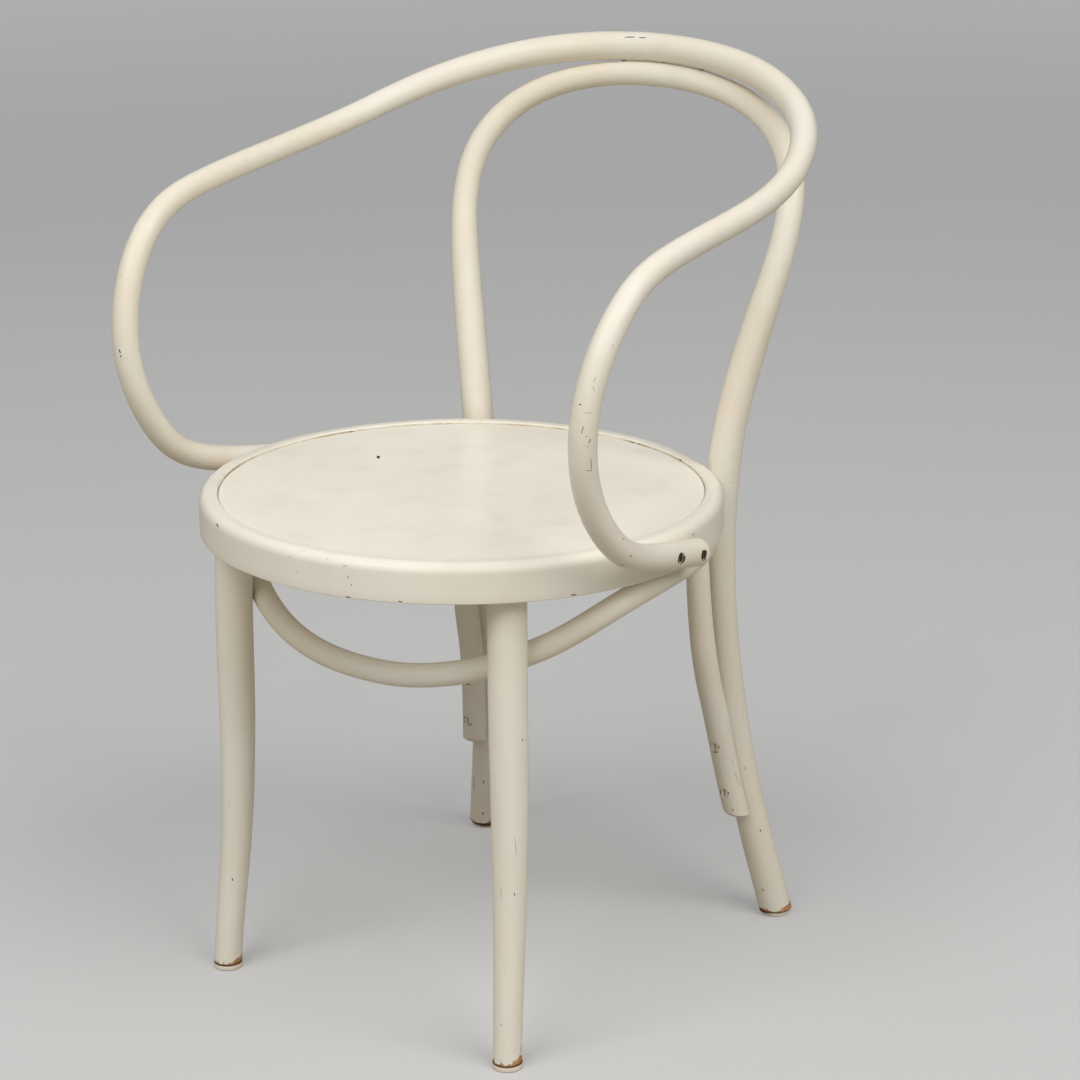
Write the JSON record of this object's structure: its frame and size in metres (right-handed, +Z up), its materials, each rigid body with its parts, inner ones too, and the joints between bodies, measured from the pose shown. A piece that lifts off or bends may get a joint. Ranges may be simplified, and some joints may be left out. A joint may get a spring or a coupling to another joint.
{
  "type": "armchair",
  "caption": "Bentwood armchair with a round panel seat; one bent rail forms its back and arms, an inner hoop forms the back loop and rear legs, a bent brace ties the legs under the seat",
  "frame": {"origin": "on the floor, under the middle of the chair's overall box", "axes": "+Z up, +X to the sitter's left, -Y the way the chair faces"},
  "size_m": [0.5518, 0.563, 0.823],
  "materials": {
    "painted_bentwood": "semi-gloss ivory paint over steam-bent beech, with small chips, scuffs and bare worn wood at the feet",
    "painted_plywood": "semi-gloss ivory paint over plywood, with a few small dark nicks",
    "glide_plastic": "off-white nylon, satin",
    "fixing_steel": "plain dull steel",
    "rusty_screw": "dark, rusted slotted steel",
    "painted_screw": "slotted steel painted over in ivory"
  },
  "bodies": {
    "root": {"seat_ring": "painted_bentwood", "seat_panel": "painted_plywood", "back_hoop": "painted_bentwood", "arm_rail": "painted_bentwood", "brace_hoop": "painted_bentwood", "front_leg_left": "painted_bentwood", "front_leg_right": "painted_bentwood", "glide_front_left": "glide_plastic", "glide_front_right": "glide_plastic", "glide_rear_left": "glide_plastic", "glide_rear_right": "glide_plastic", "glide_nails": "fixing_steel", "arm_screws_left": "rusty_screw", "arm_screws_right": "rusty_screw", "brace_screws_left": "painted_screw", "brace_screws_right": "painted_screw", "brace_ring_screws": "fixing_steel", "front_leg_screws": "fixing_steel", "rear_leg_bolts": "fixing_steel", "rear_leg_washers": "fixing_steel", "rail_screws": "fixing_steel"}
  },
  "joints": []
}
